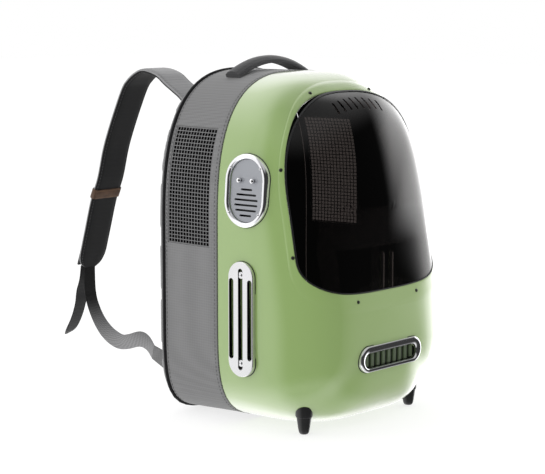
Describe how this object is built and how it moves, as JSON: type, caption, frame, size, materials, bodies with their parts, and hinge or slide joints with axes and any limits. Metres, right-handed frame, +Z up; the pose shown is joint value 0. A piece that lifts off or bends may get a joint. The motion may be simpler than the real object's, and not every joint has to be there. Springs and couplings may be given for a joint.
{
  "type": "pet carrier backpack",
  "caption": "Backpack carrier with a hard domed front, smoked bubble window, side vents, net windows, cloth bag, carry handle and padded shoulder straps.",
  "frame": {"origin": "on the floor plane, on the plane of symmetry, under the seam between the hard shell and the cloth bag", "axes": "+X to the side away from the switch panel, +Y towards the wearer and the shoulder straps, +Z up from the floor"},
  "size_m": [0.3056, 0.5164, 0.4482],
  "materials": {
    "shell": "glossy pistachio",
    "smoke": "glossy smoked clear plastic",
    "chrome": "bright plated",
    "plate": "satin grey",
    "fins": "satin dark green grey",
    "cloth": "woven mid grey",
    "net": "open black net",
    "trim": "black piping",
    "handle": "woven grey, padded",
    "lining": "charcoal padded fabric",
    "webbing": "woven webbing",
    "leather": "smooth brown",
    "plastic": "moulded black",
    "foot": "black moulded"
  },
  "bodies": {
    "carrier": {"adjuster_left": "plastic", "adjuster_right": "plastic", "back_panel": "cloth", "carry_handle": "handle", "cloth_bag": "cloth", "corner_tab_left": "cloth", "corner_tab_right": "cloth", "foot_left": "foot", "foot_right": "foot", "front_shell": "shell", "grille_fins": "fins", "grille_ring": "chrome", "leather_band_left": "leather", "leather_band_right": "leather", "net_window_left": "net", "net_window_right": "net", "piping": "trim", "strap_left": "lining", "strap_right": "lining", "switch_plate": "plate", "switch_ring": "chrome", "switch_screw_1": "chrome", "switch_screw_2": "chrome", "switch_screw_3": "chrome", "switch_screw_4": "chrome", "vent_plate_left": "chrome", "vent_plate_right": "chrome", "vent_screw_left_low": "chrome", "vent_screw_left_top": "chrome", "vent_screw_right_low": "chrome", "vent_screw_right_top": "chrome", "webbing_left": "webbing", "webbing_right": "webbing", "webbing_tail_left": "webbing", "webbing_tail_right": "webbing", "window_bubble": "smoke", "window_frame": "shell", "window_screw_1": "chrome", "window_screw_2": "chrome", "window_screw_3": "chrome", "window_screw_4": "chrome", "window_screw_5": "chrome", "window_screw_6": "chrome", "window_screw_7": "chrome", "window_screw_8": "chrome"},
    "lever_front": {"switch_lever_front": "chrome"},
    "lever_rear": {"switch_lever_rear": "chrome"}
  },
  "joints": [
    {"name": "lever_rear_tilt", "type": "hinge", "parent": "carrier", "child": "lever_rear", "pos_m": [-0.14316, -0.03493, 0.30579], "axis": [0.0206, -0.9998, 0], "range_deg": [-10, 10]},
    {"name": "lever_front_tilt", "type": "hinge", "parent": "carrier", "child": "lever_front", "pos_m": [-0.14274, -0.05533, 0.30579], "axis": [0.0206, -0.9998, 0], "range_deg": [-10, 10]}
  ]
}
